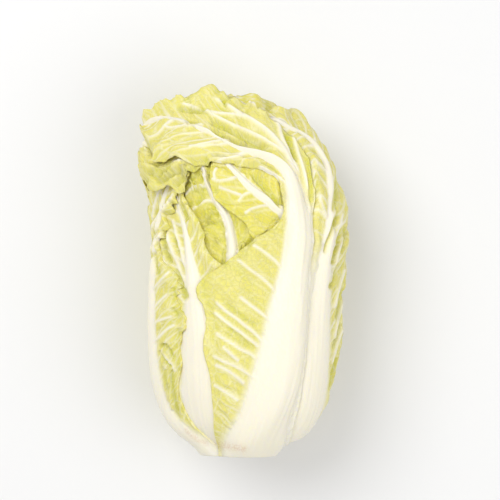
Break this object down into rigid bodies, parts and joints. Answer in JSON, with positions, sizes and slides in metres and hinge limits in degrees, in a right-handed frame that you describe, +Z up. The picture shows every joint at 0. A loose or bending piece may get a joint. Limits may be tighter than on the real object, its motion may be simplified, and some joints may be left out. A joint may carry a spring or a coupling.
{
  "type": "napa cabbage",
  "caption": "Long barrel-shaped head of napa cabbage on its side, with broad white ribs and crinkled pale yellow-green leaves folded over the crown.",
  "frame": {"origin": "on the surface the head lies on, under the middle of its bounding box", "axes": "+Y from the cut stem to the leaf tips, +Z up, +X to the right of someone looking down with the tips away from them"},
  "size_m": [0.1578, 0.2711, 0.1272],
  "materials": {
    "heart_leaf": "satin, moist",
    "inner_leaf": "satin, moist",
    "outer_leaf": "satin, moist"
  },
  "bodies": {
    "root": {"heart": "heart_leaf", "leaf_inner_back": "inner_leaf", "leaf_inner_right": "inner_leaf", "leaf_inner_left": "inner_leaf", "leaf_front_inner": "inner_leaf", "leaf_front_middle": "inner_leaf", "leaf_back_left": "outer_leaf", "leaf_back_right": "outer_leaf", "leaf_front_left": "outer_leaf", "leaf_side_right": "outer_leaf", "leaf_side_left": "outer_leaf", "leaf_crown_left": "outer_leaf", "leaf_back_outer": "outer_leaf", "leaf_front_outer": "outer_leaf"}
  },
  "joints": []
}
